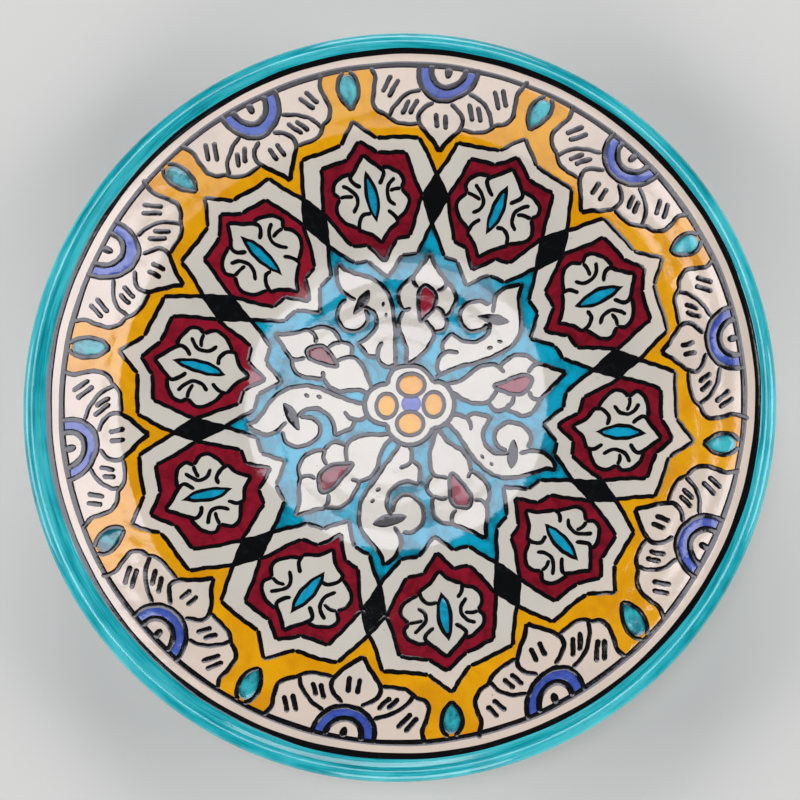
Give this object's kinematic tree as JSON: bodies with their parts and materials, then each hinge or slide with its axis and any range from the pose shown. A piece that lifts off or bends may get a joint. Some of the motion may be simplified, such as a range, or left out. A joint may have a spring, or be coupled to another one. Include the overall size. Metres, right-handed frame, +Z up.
{
  "type": "serving plate",
  "caption": "Round shallow glazed earthenware serving plate with a rounded lip, a wide flange, a foot ring and a hand-painted medallion pattern inside.",
  "frame": {"origin": "middle of the foot ring's lower face, which rests on the table", "axes": "+Z up along the plate's axis, out of the painted face; +Y towards the edge that the picture shows at the top"},
  "size_m": [0.2999, 0.3, 0.0384],
  "materials": {
    "bare_clay": "matt fired earthenware",
    "cream_glaze": "glossy, with fine specks",
    "turquoise_glaze": "glossy, streaked",
    "black_paint": "glossy, brushed",
    "yellow_paint": "glossy, brushed",
    "red_paint": "glossy, brushed",
    "blue_paint": "glossy, brushed",
    "turquoise_paint": "glossy, washed"
  },
  "bodies": {
    "root": {"clay_body": "bare_clay", "inside_glaze": "cream_glaze", "outside_glaze": "cream_glaze", "well_glaze": "cream_glaze", "rim_glaze": "turquoise_glaze", "outer_black_band": "black_paint", "inner_black_band": "black_paint", "yellow_strapwork": "yellow_paint", "fork_drops": "turquoise_paint", "blue_arches": "blue_paint", "red_frames": "red_paint", "black_lozenges": "black_paint", "rosette_leaves": "turquoise_paint", "star_ground": "turquoise_paint", "palmette_seeds": "red_paint", "leaf_marks": "black_paint", "centre_dots": "yellow_paint", "centre_eye": "blue_paint"}
  },
  "joints": []
}
